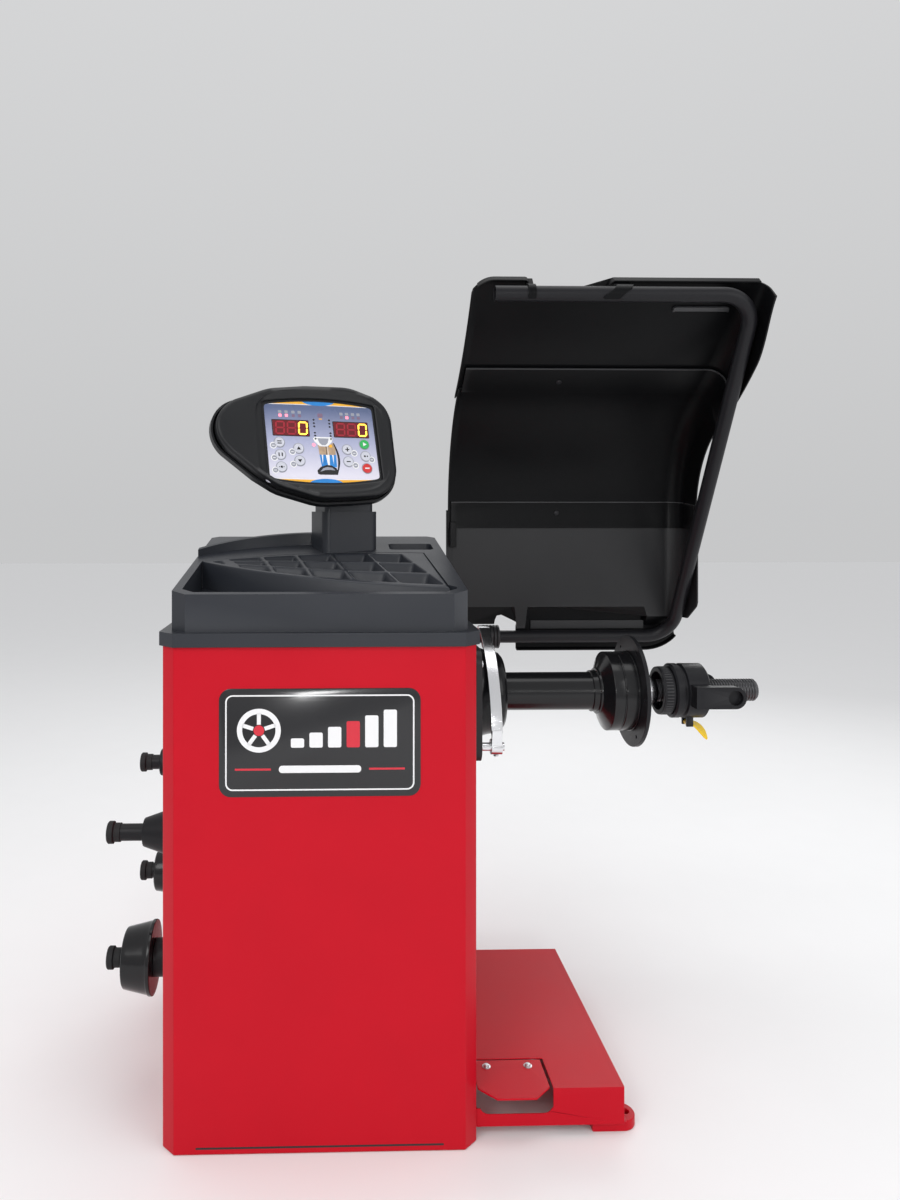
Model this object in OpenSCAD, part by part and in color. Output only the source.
// Wheel balancer: a folded-sheet cabinet with a weight tray and a display on a post, a horizontal
// spindle with a threaded shaft and quick nut, a rim gauge, a brake pedal, a swinging wheel hood and
// four pegs that hold the centring cones.
// Frame: +X along the spindle, from the cabinet towards the wheel. +Y to the back. +Z up.
// The origin is on the floor, in the cabinet's middle plane, under the spindle axis.

/* [Cabinet] */
// Width of the cabinet
cab_w = 480; // [470:5:490]
// Depth of the cabinet
cab_d = 520; // [510:5:540]
// Height of the cabinet
cab_h = 764; // [760:1:768]
// Thickness of the folded steel sheet
sheet = 2; // [1.5:0.5:2.5]
// Leg length of the chamfered front corners
cab_chamfer = 20; // [15:1:24]
// Distance from the front face back to the spindle axis
front_to_axis = 250; // [246:1:254]

/* [Spindle] */
// Height of the spindle axis above the floor
spindle_z = 643; // [640:1:646]
// Diameter of the threaded shaft
shaft_dia = 40; // [40]
// Distance of the wheel flange's face from the cabinet's middle plane
flange_x = 560; // [558:1:562]
// Distance of the threaded shaft's end from the cabinet's middle plane
shaft_end_x = 784; // [780:1:788]
// Diameter of the wheel flange's disc
disc_dia = 197; // [190:1:200]
// Diameter of the bell behind the disc
bell_dia = 140; // [136:1:142]
// Diameter of the spindle tube
tube_dia = 67; // [64:1:68]
// Radius of the pulley on the spindle
pulley_r = 50; // [50]
// Radius of the pulley on the motor
motor_pulley_r = 18; // [18]

/* [Quick nut] */
// Distance of the nut's pressure ring from the cabinet's middle plane
nut_x = 605; // [604:1:608]
// Outer diameter of the nut's body
nut_dia = 97; // [94:1:98]
// Length of the nut with its pressure ring
nut_len = 82; // [80:1:84]

/* [Rim gauge] */
// Height of the gauge rod above the floor
rod_z = 570; // [570]
// Distance of the gauge rod in front of the spindle axis
rod_front = 99; // [99]
// Radius of the curved gauge bar
gauge_r = 193; // [192:1:195]
// Width of the gauge bar
gauge_w = 19; // [18:1:20]

/* [Weight tray] */
// Slope of the tray's top, front to back
tray_slope = 8.4; // [8.2:0.1:8.6]
// Height of the tray's top plane over the spindle axis
tray_top = 878.6; // [877:0.2:880]
// Depth of the basin under the tray's top plane
basin_depth = 48; // [46:1:50]
// Depth of the small pockets
pocket_depth = 24; // [20:1:28]
// Number of pockets along a row
pocket_cols = 5; // [5]
// Number of rows of pockets
pocket_rows = 3; // [3]

/* [Display] */
// Turn of the display and its post towards the wheel side
display_yaw = 20; // [20]
// Backward tilt of the display panel
display_tilt = 18; // [18]
// Width of the printed panel
panel_w = 217; // [215:1:219]
// Height of the printed panel at its sides
panel_h = 148; // [146:1:150]
// Diameter of a key
key_dia = 18; // [17:0.5:19]
// How far a key stands out of the panel
key_proud = 1.6; // [1.4:0.1:2]

/* [Hood] */
// Distance of the hood's pivot behind the spindle axis
hood_back = 390; // [388:1:392]
// Height of the hood's pivot above the floor
hood_z = 684; // [682:1:686]
// Forward lean of the open hood's frame
hood_lean = 31; // [31]
// Length of the frame's straight side, pivot to top
hood_leg = 784; // [780:1:788]
// Outer diameter of the hood's tube
hood_tube_dia = 28; // [28]
// Thickness of the hood's panels
hood_t = 3; // [3:0.5:4]
// Distance of the hood's right wall from the cabinet's middle plane
hood_right = 801; // [801:1:806]

/* [Plinth and pedal] */
// Width of the plinth beside the cabinet
plinth_w = 232; // [228:1:236]
// Height of the plinth's top
plinth_top = 74; // [74]
// Thickness of the anchor lugs
lug_t = 16; // [14:1:16]
// Diameter of the holes in the anchor lugs
lug_hole = 12; // [10:1:14]

/* [Pegs and cones] */
// Length of a peg
peg_len = 121; // [118:1:124]
// Diameter of a peg
peg_dia = 28; // [26:1:30]
// Diameter of the bores in the cones
cone_bore = 40.1; // [40:0.1:40.4]

/* [Hidden] */
$fn = 96;
eps = 0.01;
gap = 0.3;

front_y = -front_to_axis;
back_y = front_y + cab_d;
side_x = cab_w / 2;
shaft_r = shaft_dia / 2;
run_fit = 0.06;

// ---- helpers -------------------------------------------------------------------------------------

// Turns a shape drawn along +Z so that it lies along +X, starting at x on the line through y and z
module along_x(x, y, z) {
    translate([x, y, z]) rotate([90, 0, 90]) children();
}

// A disc or tube along +X
module rod_x(x0, x1, y, z, r, hole = 0) {
    along_x(x0, y, z) difference() {
        cylinder(h = x1 - x0, r = r);
        if (hole > 0) translate([0, 0, -1]) cylinder(h = x1 - x0 + 2, r = hole);
    }
}

// A turned part on the spindle axis from [x, radius] points
module turned_x(points, y = 0, z = spindle_z) {
    translate([0, y, z]) rotate([0, 90, 0]) rotate_extrude()
        polygon([for (p = points) [p[1], p[0]]]);
}

module box(low, high) {
    translate(low) cube(high - low);
}

// Rounded rectangle with its corner at [x, y]
module round_rect(x, y, w, h, r) {
    for (cx = [x + r, x + w - r], cy = [y + r, y + h - r]) translate([cx, cy]) circle(r, $fn = 32);
    translate([x + r, y]) square([w - 2 * r, h]);
    translate([x, y + r]) square([w, h - 2 * r]);
}

// ---- cabinet -------------------------------------------------------------------------------------

shelf_z = 350;
base_t = 4;

module cab_outline(inset) {
    x = side_x - inset;
    y0 = front_y + inset;
    c = cab_chamfer - inset * 0.4;
    polygon([[-x + c, y0], [x - c, y0], [x, y0 + c], [x, back_y - sheet - gap],
             [-x, back_y - sheet - gap], [-x, y0 + c]]);
}

module cabinet_shell() color("crimson") difference() {
    union() {
        linear_extrude(cab_h) difference() {
            cab_outline(0);
            cab_outline(sheet);
            translate([-side_x + sheet, 0]) square([cab_w - 2 * sheet, cab_d]);
        }
        linear_extrude(base_t) cab_outline(sheet / 2);
        translate([0, 0, shelf_z - sheet]) linear_extrude(sheet) cab_outline(sheet / 2);
    }
    rod_x(side_x - 10, side_x + 10, 0, spindle_z, 60);
    rod_x(side_x - 10, side_x + 10, -rod_front, rod_z, 9);
}

rear_z0 = base_t + 1;
rear_z1 = cab_h - 1;
inlet_x = 150;
switch_x = 84;
socket_z = 120;
socket_out = 26;
wire_hole_r = 6;
screw_x = side_x - 12;
screw_zs = [40, cab_h / 2, cab_h - 40];

module rear_panel() color("firebrick") difference() {
    box([-side_x + sheet + gap, back_y - sheet, rear_z0], [side_x - sheet - gap, back_y, rear_z1]);
    translate([inlet_x, back_y + 5, socket_z]) rotate([90, 0, 0]) cylinder(h = 12, r = wire_hole_r);
    box([switch_x - 14, 0, socket_z - 11], [switch_x + 14, back_y + 5, socket_z + 11]);
    for (s = [-1, 1], z = screw_zs)
        translate([s * screw_x, back_y + 5, z]) rotate([90, 0, 0]) cylinder(h = 12, r = 2.6);
}

// Hexagon-socket button screws on the rear panel and the side cover
module panel_screws() color("silver") {
    for (s = [-1, 1], z = screw_zs) translate([s * screw_x, back_y + 0.05, z]) rotate([-90, 0, 0]) {
        cylinder(h = 3, r = 5.5, $fn = 32);
        translate([0, 0, -6]) cylinder(h = 6 + eps, r = 2.5, $fn = 32);
    }
    for (z = cover_screw_zs) translate([side_x + cover_d + 0.05, cover_y0 + 16, z]) rotate([0, 90, 0])
        cylinder(h = 3, r = 5.5, $fn = 32);
}

// ---- black cover on the wheel side ---------------------------------------------------------------

cover_d = 16;
cover_z0 = 567;
cover_z1 = 747;
cover_y0 = -190;
cover_y1 = 190;
apron_z0 = 446;
cover_screw_zs = [cover_z0 + 24, cover_z1 - 24];

module side_cover() color("#222226") difference() {
    union() {
        along_x(side_x, 0, 0) linear_extrude(cover_d)
            round_rect(cover_y0, cover_z0, cover_y1 - cover_y0, cover_z1 - cover_z0, 22);
        along_x(side_x, 0, 0) linear_extrude(3.5)
            round_rect(cover_y0 + 14, apron_z0, cover_y1 - cover_y0 - 28, 200, 16);
    }
    along_x(side_x - 1, 0, 0) linear_extrude(cover_d - 2)
        round_rect(cover_y0 + 4, cover_z0 + 6, cover_y1 - cover_y0 - 8, cover_z1 - cover_z0 - 12, 18);
    rod_x(side_x - 5, side_x + 30, 0, spindle_z, 60);
    rod_x(side_x - 5, side_x + 30, -rod_front, rod_z, 8.5);
}

// ---- plinth, lugs, pedal -------------------------------------------------------------------------

plinth_y0 = front_y + 27;
plinth_y1 = front_y + 456;
plinth_x1 = side_x + plinth_w;
pedal_x0 = side_x + 4;
pedal_x1 = side_x + 116;
pedal_y0 = front_y + 5;
pedal_y1 = front_y + 98;
pedal_t = 3;
hinge_y = pedal_y1 + 14;
hinge_z = plinth_top - 20;
slot_x1 = side_x + 121;

module plinth() color("firebrick") difference() {
    box([side_x + gap, plinth_y0, lug_t + eps], [plinth_x1, plinth_y1, plinth_top]);
    box([side_x + gap + sheet, plinth_y0 + sheet, 0],
        [plinth_x1 - sheet, plinth_y1 - sheet, plinth_top - sheet]);
    box([side_x - 1, plinth_y0 - 5, plinth_top - 30], [slot_x1, pedal_y1 + 4, plinth_top + 5]);
    // rounded lower corners of the opening in the front face
    translate([0, plinth_y0 + 5, 0]) rotate([90, 0, 0]) linear_extrude(20)
        round_rect(side_x + 6, plinth_top - 39, slot_x1 - side_x - 6, 60, 15);
}

lugs = [[plinth_x1 - 48, plinth_y0 + 7, 0], [plinth_x1 - 48, plinth_y1 - 53, 0], [-side_x + 48, -20, 180]];
lug_len = 73;
lug_w = 46;

module anchor_lugs() color("firebrick") for (l = lugs) {
    dir = l[2] == 0 ? 1 : -1;
    difference() {
        union() {
            box([min(l[0], l[0] + dir * (lug_len - lug_w / 2)), l[1], 0],
                [max(l[0], l[0] + dir * (lug_len - lug_w / 2)), l[1] + lug_w, lug_t]);
            translate([l[0] + dir * (lug_len - lug_w / 2), l[1] + lug_w / 2, 0])
                cylinder(h = lug_t, r = lug_w / 2);
        }
        translate([l[0] + dir * (lug_len - 15), l[1] + lug_w / 2, -1])
            cylinder(h = lug_t + 2, r = lug_hole / 2);
        if (dir < 0) box([-side_x, l[1] - 1, -1], [0, l[1] + lug_w + 1, lug_t + 1]);
    }
}

module brake_pedal() color("crimson") {
    difference() {
        translate([0, 0, plinth_top - pedal_t]) linear_extrude(pedal_t) polygon([
            [pedal_x0, pedal_y0 + 26], [pedal_x0 + 26, pedal_y0], [pedal_x1 - 26, pedal_y0],
            [pedal_x1, pedal_y0 + 26], [pedal_x1, pedal_y1], [pedal_x0, pedal_y1]]);
        for (x = [pedal_x0 + 22, pedal_x1 - 23])
            translate([x, pedal_y1 - 18, plinth_top - 10]) cylinder(h = 20, r = 2.6);
    }
    for (x = [pedal_x0 + 18, pedal_x1 - 24]) difference() {
        union() {
            box([x, pedal_y0 + 40, plinth_top - 16], [x + 6, pedal_y1 - 2, plinth_top - pedal_t]);
            box([x, pedal_y1 - 30, hinge_z - 8], [x + 6, hinge_y, hinge_z + 8]);
            rod_x(x, x + 6, hinge_y, hinge_z, 8);
        }
        rod_x(x - 1, x + 7, hinge_y, hinge_z, 4 + run_fit);
    }
}

// The pedal's hinge pin, in two ears that stand on the plinth's side of the hinge
module pedal_pin() color("silver") {
    rod_x(pedal_x0 + 4, pedal_x1 - 4, hinge_y, hinge_z, 4);
    for (x = [pedal_x0 + 4, pedal_x1 - 12])
        box([x, hinge_y - 3, hinge_z + eps], [x + 8, hinge_y + 3, plinth_top - sheet - 0.05]);
}

// ---- weight tray ---------------------------------------------------------------------------------

tray_back = 240;
lip_z = 785;
insert_left = [-214, -4];
insert_front = [203, -200];
insert_back = [190, 70];
rim_r = 300;
rim_centre = [0, -152];

// The raised rim ends against the display's post
rim_end_x = -15.1;

// Everything above (or, with up = -1, below) the tray's top plane lowered by "down"
module tray_half(down, up = 1) {
    translate([0, 0, tray_top - down]) rotate([tray_slope, 0, 0])
        translate([-500, -500, up > 0 ? 0 : -400]) cube([1000, 1000, 400]);
}

// Point at s on a curve from a to b that bulges by h to the right of its direction
function bowed(a, b, h, s) = let (d = b - a, n = [d[1], -d[0]] / norm(d))
    a + d * s + n * h * 4 * s * (1 - s);
function insert_pt(s, t) = bowed(insert_left, insert_front, 34, s) * (1 - t)
    + bowed(insert_left, insert_back, -34, s) * t;

module insert_outline() polygon(concat(
    [for (i = [0:16]) insert_pt(i / 16, 0)], [for (i = [16:-1:1]) insert_pt(i / 16, 1)]));

module pocket(c, r) {
    wall = 0.012;
    skew = -0.1;
    s0 = 0.15 + 0.8 * c / pocket_cols;
    s1 = 0.15 + 0.8 * (c + 1) / pocket_cols;
    t0 = 0.05 + 0.9 * r / pocket_rows + 0.02;
    t1 = 0.05 + 0.9 * (r + 1) / pocket_rows - 0.02;
    polygon([for (q = [[s0 + wall, t0], [s1 - wall, t0], [s1 - wall, t1], [s0 + wall, t1]])
        insert_pt(q[0] + skew * (q[1] - 0.5), q[1])]);
}

module tray_outline(w, front, back) polygon([
    [-w / 2 + 24, front], [w / 2 - 24, front], [w / 2, front + 24], [w / 2, back - 14],
    [w / 2 - 14, back], [-w / 2 + 14, back], [-w / 2, back - 14], [-w / 2, front + 24]]);

module weight_tray() color("#26262b") difference() {
    union() {
        translate([0, 0, cab_h + 0.05]) linear_extrude(lip_z - cab_h)
            tray_outline(490, front_y - 6, back_y - 4);
        intersection() {
            translate([0, 0, lip_z - 1]) linear_extrude(160) tray_outline(456, front_y + 6, tray_back);
            tray_half(0, -1);
        }
        // raised rim behind the pockets
        intersection() {
            translate([0, 0, lip_z]) linear_extrude(160) intersection() {
                difference() {
                    translate(rim_centre) circle(rim_r + 8);
                    translate(rim_centre) circle(rim_r);
                }
                polygon([[-228, 20], [-228, 400], [rim_end_x, 400], [rim_end_x, 20]]);
            }
            translate([0, 150, 924]) rotate([14.5, 0, 0])
                translate([-500, -500, -400]) cube([1000, 1000, 400]);
        }
    }
    // basin at the front and the seat of the pocket insert
    intersection() {
        translate([0, 0, 600]) linear_extrude(500) union() {
            insert_outline();
            polygon(concat([[-214, -4], [-214, front_y + 40], [-194, front_y + 20], [194, front_y + 20],
                [214, front_y + 40], [214, -200]], [for (i = [16:-1:0]) insert_pt(i / 16, 0.05)]));
        }
        tray_half(basin_depth);
    }
    // pocket at the right rear
    intersection() {
        translate([0, 0, 600]) linear_extrude(500) round_rect(128, 100, 84, 60, 10);
        tray_half(30);
    }
    // hollow underside
    intersection() {
        translate([0, 0, 700]) linear_extrude(300) tray_outline(450, front_y + 9, tray_back - 3);
        tray_half(basin_depth + 3, -1);
    }
    translate([0, 0, 700]) linear_extrude(lip_z - 3 - 700) tray_outline(482, front_y, back_y - 8);
}

module compartment_insert() color("#303035") difference() {
    intersection() {
        translate([0, 0, 600]) linear_extrude(500) insert_outline();
        tray_half(basin_depth - 0.05);
        tray_half(0, -1);
    }
    intersection() {
        translate([0, 0, 600]) linear_extrude(500)
            for (c = [0:pocket_cols - 1], r = [0:pocket_rows - 1]) pocket(c, r);
        tray_half(pocket_depth);
    }
}

// ---- display -------------------------------------------------------------------------------------

panel_centre = [0, 22, 1093];
post_at = [40, 120];
post_w = 110;
post_d = 84;
neck_w = 97;
neck_d = 70;
post_z0 = 872;
post_z1 = 966;
neck_z1 = 990;
// The tilt axis in the display's own turned, untilted frame, from the panel's centre
tilt_x = 71;
tilt_y = 80;
tilt_z = -84;
bezel_front = -9;
bezel_back = 12;
head_back = 62;

module turned_frame() translate(panel_centre) rotate([0, 0, display_yaw]) children();
module head_frame() turned_frame() rotate([-display_tilt, 0, 0]) children();
// Draws a flat shape in the panel's plane, x to the right and y up, and extrudes it from depth d0 to d1
module in_panel(d0, d1) translate([0, d1, 0]) rotate([90, 0, 0]) linear_extrude(d1 - d0) children();

module post_block(w, d, z0, z1, r) {
    translate([post_at[0], post_at[1], z0]) rotate([0, 0, display_yaw]) linear_extrude(z1 - z0)
        round_rect(-w / 2, -d / 2, w, d, r);
}

module display_post() color("#26262b") difference() {
    intersection() {
        post_block(post_w, post_d, post_z0 - 20, post_z1, 14);
        tray_half(-0.05);
    }
    post_block(neck_w + 0.2, neck_d + 0.2, post_z1 - 16, post_z1 + 5, 10);
    post_block(post_w - 8, post_d - 8, 800, post_z1 - 20, 10);
}

module display_neck() color("#303036") difference() {
    union() {
        post_block(neck_w, neck_d, post_z1 - 15.9, neck_z1, 10);
        turned_frame() rod_x(tilt_x - 36, tilt_x + 36, tilt_y, tilt_z, 15);
        turned_frame() box([tilt_x - 36, tilt_y - 15, neck_z1 - panel_centre[2] - 5],
                           [tilt_x + 36, tilt_y + 15, tilt_z]);
    }
    turned_frame() rod_x(tilt_x - 60, tilt_x + 60, tilt_y, tilt_z, 6 + run_fit);
}

// Rounded lobes whose common outline is the display head
head_lobes = [[88, 44, 57], [84, -52, 59], [47, -18, 96], [46, 18, 96], [-2, -15, 101],
              [-20, 12, 101], [-52, -7, 94], [-72, 10, 97], [-140, 22, 61]];
module head_outline(grow = 0) hull()
    for (l = head_lobes) translate([l[0], l[1]]) circle(l[2] + grow, $fn = 48);

module panel_outline(grow = 0) {
    rise = 9;
    w = panel_w / 2 + grow;
    h = panel_h / 2 + grow;
    n = 12;
    polygon(concat([for (i = [0:n]) [-w + 2 * w * i / n, -h - rise * (1 - pow(2 * i / n - 1, 2))]],
                   [for (i = [n:-1:0]) [-w + 2 * w * i / n, h + rise * (1 - pow(2 * i / n - 1, 2))]]));
}

module display_bezel() color("#2b2b30") head_frame() difference() {
    in_panel(bezel_front, bezel_back) head_outline(-5);
    in_panel(bezel_front - 5, 2.1) panel_outline(7);
    in_panel(bezel_front - 5, bezel_back + 5) panel_outline(-6);
    in_panel(3, bezel_back + 5) head_outline(-9);
}

module display_rear_shell() color("#26262b") {
    head_frame() difference() {
        hull() {
            in_panel(bezel_back + 0.05, bezel_back + 14) head_outline(0);
            in_panel(head_back - 2, head_back) head_outline(-30);
        }
        hull() {
            in_panel(bezel_back - 1, bezel_back + 13) head_outline(-4);
            in_panel(head_back - 6, head_back - 5) head_outline(-34);
        }
    }
    // cheeks on each side of the neck's barrel, with the tilt pin between them
    turned_frame() difference() {
        union() {
            for (s = [-1, 1]) {
                x0 = s > 0 ? tilt_x + 36.5 : tilt_x - 46.5;
                rod_x(x0, x0 + 10, tilt_y, tilt_z, 15);
                box([x0, tilt_y - 34, tilt_z - 4], [x0 + 10, tilt_y, tilt_z + 40]);
            }
            rod_x(tilt_x - 40, tilt_x + 40, tilt_y, tilt_z, 6);
        }
        rotate([-display_tilt, 0, 0]) in_panel(-60, head_back - 1) head_outline(20);
    }
}

module display_panel() color("slategray") head_frame() difference() {
    in_panel(0.05, 2) panel_outline(6.5);
    for (k = key_places) in_panel(-1, 5) translate(k) circle(key_dia / 2 + 0.2);
}

led_z0 = 11;
led_z1 = 40;
module led_readouts() color("darkred") head_frame()
    for (x = [-91, 25]) in_panel(-0.5, 0) translate([x, led_z0]) square([67, led_z1 - led_z0]);

key_out = 81.5;
key_in = 46.5;
key_places = [[-key_out, -3], [-key_out, -26.5], [-key_out, -50], [-key_in, -14], [-key_in, -37.7],
              [key_in, -14], [key_in, -37.7], [key_out, -3], [key_out, -26.5], [key_out, -50]];
module key(i, tint) color(tint) head_frame()
    in_panel(-key_proud, 1.1) translate(key_places[i]) circle(key_dia / 2);

// ---- spindle support inside the cabinet ----------------------------------------------------------

plate_x0 = 226;
plate_x1 = 234;
flange_t = 12;
sensor_t = 6;
bearing_r = 36;
bearing_w = 17;
journal_r = 17.5;
belt_x0 = 30;
belt_x1 = 48;
motor_z = shelf_z + 62;

module support_plate() color("dimgray") difference() {
    box([plate_x0, -150, 520], [plate_x1, 150, 740]);
    rod_x(plate_x0 - 1, plate_x1 + 1, 0, spindle_z, 58);
    rod_x(plate_x0 - 1, plate_x1 + 1, -rod_front, rod_z, 7 + run_fit);
}

module piezo_sensors() color("gold") for (s = [-1, 1])
    rod_x(plate_x0 - sensor_t + 0.05, plate_x0 - 0.05, s * 66, spindle_z + 30, 12);

module spindle_housing() color("gray") difference() {
    union() {
        rod_x(80, 250, 0, spindle_z, 52);
        box([plate_x0 - sensor_t - flange_t, -85, spindle_z - 60], [plate_x0 - sensor_t, 85, spindle_z + 60]);
    }
    rod_x(0, 300, 0, spindle_z, bearing_r - 6);
    rod_x(79, 80 + bearing_w + 3, 0, spindle_z, bearing_r + 0.02);
    rod_x(250 - bearing_w - 3, 251, 0, spindle_z, bearing_r + 0.02);
}

module spindle_bearings() color("silver") for (x = [83, 250 - bearing_w - 3])
    rod_x(x + 0.05, x + bearing_w - 0.05, 0, spindle_z, bearing_r, journal_r + 0.03);

module drive_motor() color("dimgray") {
    rod_x(66, 206, 0, motor_z, 55);
    box([82, -50, shelf_z + 0.05], [190, 50, motor_z - 30]);
    rod_x(40, 66 + eps, 0, motor_z, 7);
}

module motor_pulley() color("silver") {
    rod_x(belt_x0 - 2, belt_x0, 0, motor_z, motor_pulley_r + 4, 7 + run_fit);
    rod_x(belt_x0, belt_x1, 0, motor_z, motor_pulley_r, 7 + run_fit);
    rod_x(belt_x1, belt_x1 + 2, 0, motor_z, motor_pulley_r + 4, 7 + run_fit);
}

module belt_loop(grow) hull() {
    translate([0, spindle_z]) circle(pulley_r + grow, $fn = 64);
    translate([0, motor_z]) circle(motor_pulley_r + grow, $fn = 64);
}

module drive_belt() color("#1c1c1c") along_x(belt_x0 + 2, 0, 0) linear_extrude(belt_x1 - belt_x0 - 4)
    difference() {
        belt_loop(gap + 3);
        belt_loop(gap);
    }

module spindle_shaft() color("silver") {
    rod_x(16, 299, 0, spindle_z, journal_r);
    rod_x(belt_x0, belt_x1, 0, spindle_z, pulley_r);
    rod_x(belt_x0 - 4, belt_x0, 0, spindle_z, pulley_r + 5);
    // slotted ring that the angle sensor reads
    difference() {
        rod_x(belt_x1, belt_x1 + 3, 0, spindle_z, pulley_r + 16);
        for (a = [0:15:359]) translate([0, 0, spindle_z]) rotate([a, 0, 0])
            box([belt_x1 - 1, -2, pulley_r + 9], [belt_x1 + 5, 2, pulley_r + 14]);
    }
}

module control_board() color("seagreen") {
    box([-190, back_y - 40, 420], [-30, back_y - 38, 620]);
    box([-170, back_y - 80, 440], [-110, back_y - 40, 500]);
    box([-90, back_y - 66, 540], [-50, back_y - 40, 600]);
    for (x = [-180, -40], z = [430, 610])
        translate([x, back_y - 38, z]) rotate([-90, 0, 0]) cylinder(h = 36 - 0.05, r = 4);
}

// The inlet's box stands on the rear panel, over the hole for its wires
module power_inlet() color("#1c1c1c") difference() {
    box([inlet_x - 28, back_y + 0.05, socket_z - 18], [inlet_x + 28, back_y + socket_out, socket_z + 18]);
    box([inlet_x - 12, back_y + 6, socket_z - 8], [inlet_x + 12, back_y + socket_out + 1, socket_z + 8]);
}

module main_switch() color("#7a1010") {
    rod_x(switch_x - 8, switch_x + 8, back_y - 8, socket_z, 6);
    translate([0, back_y - 8, socket_z]) rotate([-8, 0, 0])
        box([switch_x - 9, 0, -9], [switch_x + 9, 12, 9]);
}

// ---- rotating spindle ----------------------------------------------------------------------------

bell_x = flange_x - 68;
disc_t = 7;
// Shallow seat in the disc's face that the centring cone stands in
seat_depth = 1;
cone_foot_r = 32.5;
free_x = 690;

module spindle_dome() color("#222226") turned_x([
    [side_x + cover_d + 0.05, 36], [side_x + cover_d + 0.05, 85], [side_x + 32, 81], [side_x + 50, 75.5],
    [side_x + 66, 72.5], [side_x + 76, 69], [side_x + 82, 62], [side_x + 82, 36]]);

module flange_hub() color("#1e1e22") turned_x([
    [300, journal_r], [300, tube_dia / 2], [bell_x, tube_dia / 2], [bell_x, 41],
    [bell_x + 15, bell_dia / 2], [flange_x - disc_t - 0.05, bell_dia / 2],
    [flange_x - disc_t - 0.05, shaft_r], [flange_x - 30, shaft_r], [flange_x - 30, journal_r]]);

module flange_disc() color("#2a2a2e") difference() {
    rod_x(flange_x - disc_t, flange_x, 0, spindle_z, disc_dia / 2, shaft_r);
    rod_x(flange_x - seat_depth, flange_x + 1, 0, spindle_z, cone_foot_r + 1);
    for (a = [30:60:359]) translate([flange_x - 10, 0, spindle_z]) rotate([a, 0, 0])
        translate([0, 0, 84]) rotate([0, 90, 0]) cylinder(h = 20, r = 3);
}

module centring_cone() color("silver") turned_x([
    [flange_x - seat_depth + gap, shaft_r], [flange_x - seat_depth + gap, cone_foot_r],
    [flange_x + 8, cone_foot_r],
    [flange_x + 40, 23], [flange_x + 40, shaft_r]]);

// The free end starts after a narrow relief groove
module threaded_shaft() color("silver") turned_x([
    [flange_x - 29, 0], [flange_x - 29, shaft_r], [free_x - 2, shaft_r], [free_x - 2, shaft_r - 1],
    [free_x, shaft_r - 1], [free_x, shaft_r], [shaft_end_x - 3, shaft_r], [shaft_end_x, shaft_r - 3],
    [shaft_end_x, 0]]);

// ---- quick nut -----------------------------------------------------------------------------------

ring_len = 20;
nut_r = nut_dia / 2;
prong_end = nut_x + 132;
lever_x = nut_x + 56;
lever_z = spindle_z - nut_r - 10;

module pressure_ring() color("#1e1e22") turned_x([
    [nut_x, 34], [nut_x, 42.5], [nut_x + ring_len, 42.5], [nut_x + ring_len, shaft_r + run_fit],
    [nut_x + 12, shaft_r + run_fit], [nut_x + 12, 34]]);

module nut_body() color("#1e1e22") {
    x0 = nut_x + ring_len + gap;
    x1 = nut_x + nut_len;
    difference() {
        union() {
            turned_x([[x0, 10], [x0, nut_r - 3], [x0 + 3, nut_r], [x0 + 14, nut_r], [x0 + 16, nut_r - 4],
                [x0 + 20, nut_r - 4], [x0 + 22, nut_r], [x1 - 4, nut_r], [x1, nut_r - 5], [x1, 10]]);
            for (s = [-1, 1]) {
                box([x0 + 24, s > 0 ? nut_r - 9 : -nut_r - 22, spindle_z - 19],
                    [x1 - 6, s > 0 ? nut_r + 22 : -nut_r + 9, spindle_z + 19]);
                box([x0 + 24, s > 0 ? nut_r + 6 : -nut_r - 22, spindle_z - 19],
                    [prong_end - 19, s > 0 ? nut_r + 22 : -nut_r - 6, spindle_z + 19]);
                translate([prong_end - 19, s > 0 ? nut_r + 6 : -nut_r - 22, spindle_z]) rotate([-90, 0, 0])
                    cylinder(h = 16, r = 19);
            }
            for (y = [-12, 8])
                box([lever_x - 6, y, lever_z - 5], [lever_x + 6, y + 4, spindle_z - nut_r + 6]);
        }
        rod_x(x0 - 1, x1 + 1, 0, spindle_z, shaft_r + run_fit);
        // hollow ends of the two handles
        for (s = [-1, 1]) translate([prong_end - 19, s > 0 ? nut_r + 12 : -nut_r - 28, spindle_z])
            rotate([-90, 0, 0]) cylinder(h = 16, r = 13);
    }
    translate([lever_x, -9, lever_z]) rotate([-90, 0, 0]) cylinder(h = 18, r = 2.5);
}

module nut_release_lever() color("gold") difference() {
    union() {
        translate([lever_x, -7.5, lever_z]) rotate([-90, 0, 0]) cylinder(h = 15, r = 5);
        box([lever_x, -7.5, lever_z - 5], [lever_x + 16, 7.5, lever_z]);
        box([lever_x + 12, -14, lever_z - 5], [lever_x + 42, 14, lever_z]);
    }
    translate([lever_x, -10, lever_z]) rotate([-90, 0, 0]) cylinder(h = 20, r = 2.5 + run_fit);
}

// ---- rim gauge -----------------------------------------------------------------------------------

gauge_x0 = side_x + 45;
gauge_x1 = gauge_x0 + gauge_w;
gauge_t = 6;
arc_centre = [84.8, spindle_z - 73];
arc_from = 107;
arc_to = 173;

module gauge_rod() color("silver") rod_x(60, gauge_x1 + 4, -rod_front, rod_z, 7);

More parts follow.
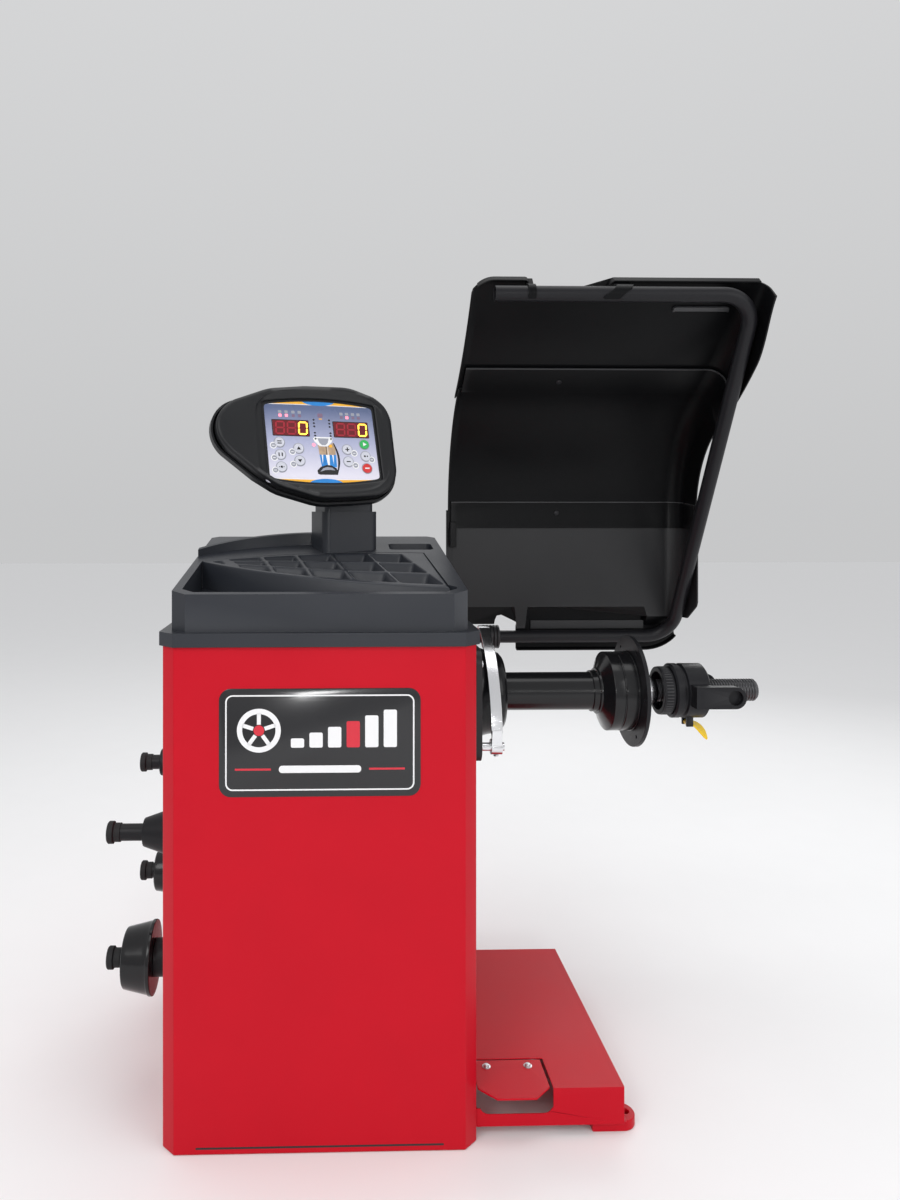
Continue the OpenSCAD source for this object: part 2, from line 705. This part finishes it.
module gauge_arm() color("silver") difference() {
    union() {
        rod_x(gauge_x0, gauge_x1, -rod_front, rod_z, 13);
        along_x(gauge_x0, arc_centre[0], arc_centre[1]) rotate([0, 0, arc_from]) intersection() {
            difference() {
                cylinder(h = gauge_w, r = gauge_r + gauge_t / 2, $fn = 180);
                translate([0, 0, -1]) cylinder(h = gauge_w + 2, r = gauge_r - gauge_t / 2, $fn = 180);
            }
            linear_extrude(gauge_w) polygon([[0, 0], [400, 0],
                [400 * cos(arc_to - arc_from) + 400, 400 * sin(arc_to - arc_from)],
                [400 * cos(arc_to - arc_from), 400 * sin(arc_to - arc_from)]]);
        }
        // straight foot that joins the arc to the clamp ring on the rod
        box([gauge_x0 + 1, -rod_front - 12, rod_z], [gauge_x1 - 1, -rod_front - 3, rod_z + 30]);
    }
    rod_x(gauge_x0 - 1, gauge_x1 + 1, -rod_front, rod_z, 7 + run_fit);
}

// ---- hood ----------------------------------------------------------------------------------------

hood_tube_r = hood_tube_dia / 2;
hood_tube_t = 2;
bend_r = 60;
leg_x = 781;
top_x0 = 308;
collar_x0 = 354;
collar_x1 = 392;
housing_x0 = 120;
housing_x1 = 316;
hood_x0 = 275;
hood_corner_r = 36;
hood_wall = 92;
// The lower panel stops above the tube, and the outer panels lie over the middle one
hood_low_z = 724;
hood_lap = hood_t + 0.5;
// The back sheet: vertical, then bent forward on a circle, then a flatter sweep up to the rim
back_y0 = hood_back - 4;
mid_z0 = 960;
mid_r = 285;
mid_sweep = 63;
top_r = 790;
top_sweep = 21;

module hood_frame() translate([0, hood_back, hood_z]) rotate([hood_lean, 0, 0]) children();

// The bent tube's run in its own plane, with its two free ends lengthened by "more"
module tube_path(r, more = 0) {
    along_x(housing_x0 - 30 - more, 0, 0) cylinder(h = leg_x - bend_r - housing_x0 + 30 + more, r = r);
    translate([leg_x - bend_r, 0, bend_r]) rotate([90, 0, 0]) rotate([0, 0, -90])
        rotate_extrude(angle = 90) translate([bend_r, 0]) circle(r);
    translate([leg_x, 0, bend_r]) cylinder(h = hood_leg - 2 * bend_r, r = r);
    translate([leg_x - bend_r, 0, hood_leg - bend_r]) rotate([90, 0, 0])
        rotate_extrude(angle = 90) translate([bend_r, 0]) circle(r);
    along_x(top_x0 - more, 0, hood_leg) cylinder(h = leg_x - bend_r - top_x0 + more, r = r);
}

module hood_tube() color("#1e1e22") hood_frame() difference() {
    tube_path(hood_tube_r);
    tube_path(hood_tube_r - hood_tube_t, 1);
}

module hood_collar() color("#222226") rod_x(collar_x0, collar_x1, hood_back, hood_z, 26, hood_tube_r + 0.02);

// Across its run a panel is a back wall, a round corner and a right wall; x is to the right and y is back,
// with 0 on the sheet's outer face
module hood_outline(right, back, r) {
    translate([hood_x0 - 20, -hood_wall]) square([right - r - hood_x0 + 20, back + hood_wall]);
    translate([hood_x0 - 20, -hood_wall]) square([right - hood_x0 + 20, back - r + hood_wall]);
    translate([right - r, back - r]) circle(r);
}
module hood_section(out) intersection() {
    difference() {
        hood_outline(hood_right + out, out, hood_corner_r);
        translate([0, -1]) hood_outline(hood_right + out - hood_t, out - hood_t + 1, hood_corner_r - hood_t);
    }
    translate([hood_x0 - out, -hood_wall]) square([hood_right, 2 * hood_wall]);
}

module hood_lower_panel() color("#2c2c30")
    translate([0, back_y0, hood_low_z]) linear_extrude(mid_z0 + 8 - hood_low_z) hood_section(hood_lap);

// The middle panel bends forward round an axis in front of it
module hood_middle_panel() color("#242428")
    along_x(0, back_y0 - mid_r, mid_z0) rotate([0, 0, -10]) rotate_extrude(angle = mid_sweep + 10)
        translate([mid_r, 0]) mirror([1, -1]) hood_section(0);

// The top panel bends the other way, round an axis behind and above it, and laps 2 degrees over the middle
module hood_top_panel() color("#1e1e22")
    along_x(0, back_y0 - mid_r + (mid_r + top_r) * cos(mid_sweep), mid_z0 + (mid_r + top_r) * sin(mid_sweep))
        rotate([0, 0, 180 + mid_sweep - top_sweep]) rotate_extrude(angle = top_sweep + 2)
            translate([top_r, 0]) rotate([0, 0, 90]) hood_section(hood_lap);

module hood_bracket() color("firebrick") difference() {
    union() {
        rod_x(housing_x0, housing_x1, hood_back, hood_z, 24);
        box([110, back_y + 0.05, 600], [side_x - 4, back_y + 8, cab_h - 2]);
        for (x = [housing_x0 + 6, side_x - 16]) along_x(x, 0, 0) linear_extrude(8)
            polygon([[back_y + 7, 604], [hood_back, hood_z - 23],
                     [hood_back, hood_z + 23], [back_y + 7, cab_h - 6]]);
    }
    rod_x(housing_x0 - 10, housing_x1 + 10, hood_back, hood_z, hood_tube_r + run_fit);
    // pocket for the panel screw behind the plate
    box([screw_x - 7, back_y - 1, cab_h - 47], [side_x, back_y + 4, cab_h - 33]);
}

// ---- pegs and cones ------------------------------------------------------------------------------

peg_front_y = -78;
peg_rear_y = 182;
pegs = [[peg_front_y, 424], [peg_front_y, 212], [peg_rear_y, 468], [peg_rear_y, 253]];
peg_tip = -side_x - peg_len;
bore_r = cone_bore / 2;

module accessory_pegs() color("#202024") for (p = pegs)
    rod_x(peg_tip + 4, -side_x - 0.05, p[0], p[1], peg_dia / 2, peg_dia / 2 - 2.5);

module peg_caps() color("#202024") for (p = pegs) turned_x([
    [peg_tip, 0], [peg_tip, 16.5], [peg_tip + 2, 18.5], [peg_tip + 10, 18.5], [peg_tip + 12, 15.6],
    [peg_tip + 22, 15.6], [peg_tip + 22, peg_dia / 2 + 0.02], [peg_tip + 3.95, peg_dia / 2 + 0.02],
    [peg_tip + 3.95, 0]], p[0], p[1]);

// A cone on a peg: a turned part from [distance from the cabinet, radius] points, then its bore
module cone_on_peg(i, points) turned_x(concat(
    [[-side_x - points[0][0], bore_r]], [for (q = points) [-side_x - q[0], q[1]]],
    [[-side_x - points[len(points) - 1][0], bore_r]]), pegs[i][0], pegs[i][1]);

module large_cone() color("gray")
    cone_on_peg(1, [[91, 46], [89, 48], [49, 57], [47.05, 59], [41, 59], [41, 31]]);
module cone_spacer() color("gray") cone_on_peg(1, [[41 - gap, 30], [gap, 30]]);
module small_cone() color("gray") cone_on_peg(0, [[60, 23], [12, 39], [gap, 39]]);
module medium_cone() color("gray") cone_on_peg(3, [[91, 34], [89, 38], [30, 46], [gap, 46]]);
module adaptor_sleeve() color("gray") cone_on_peg(2, [[82, 24], [80, 26], [gap, 26]]);

// ---- assembly ------------------------------------------------------------------------------------

cabinet_shell();
rear_panel();
panel_screws();
side_cover();
plinth();
anchor_lugs();
weight_tray();
compartment_insert();
display_post();
display_neck();
display_rear_shell();
display_bezel();
display_panel();
led_readouts();
key(0, "gainsboro");  // key_left_top
key(1, "gainsboro");  // key_left_middle
key(2, "gainsboro");  // key_left_bottom
key(3, "gainsboro");  // key_inner_left_top
key(4, "gainsboro");  // key_inner_left_bottom
key(5, "gainsboro");  // key_inner_right_top
key(6, "gainsboro");  // key_inner_right_bottom
key(7, "green");  // key_start
key(8, "gray");  // key_right_middle
key(9, "red");  // key_stop
spindle_dome();
spindle_housing();
spindle_bearings();
support_plate();
piezo_sensors();
drive_motor();
motor_pulley();
drive_belt();
control_board();
power_inlet();
main_switch();
spindle_shaft();
flange_hub();
flange_disc();
centring_cone();
threaded_shaft();
pressure_ring();
nut_body();
nut_release_lever();
gauge_rod();
gauge_arm();
brake_pedal();
pedal_pin();
hood_tube();
hood_collar();
hood_lower_panel();
hood_middle_panel();
hood_top_panel();
hood_bracket();
accessory_pegs();
peg_caps();
large_cone();
cone_spacer();
small_cone();
medium_cone();
adaptor_sleeve();
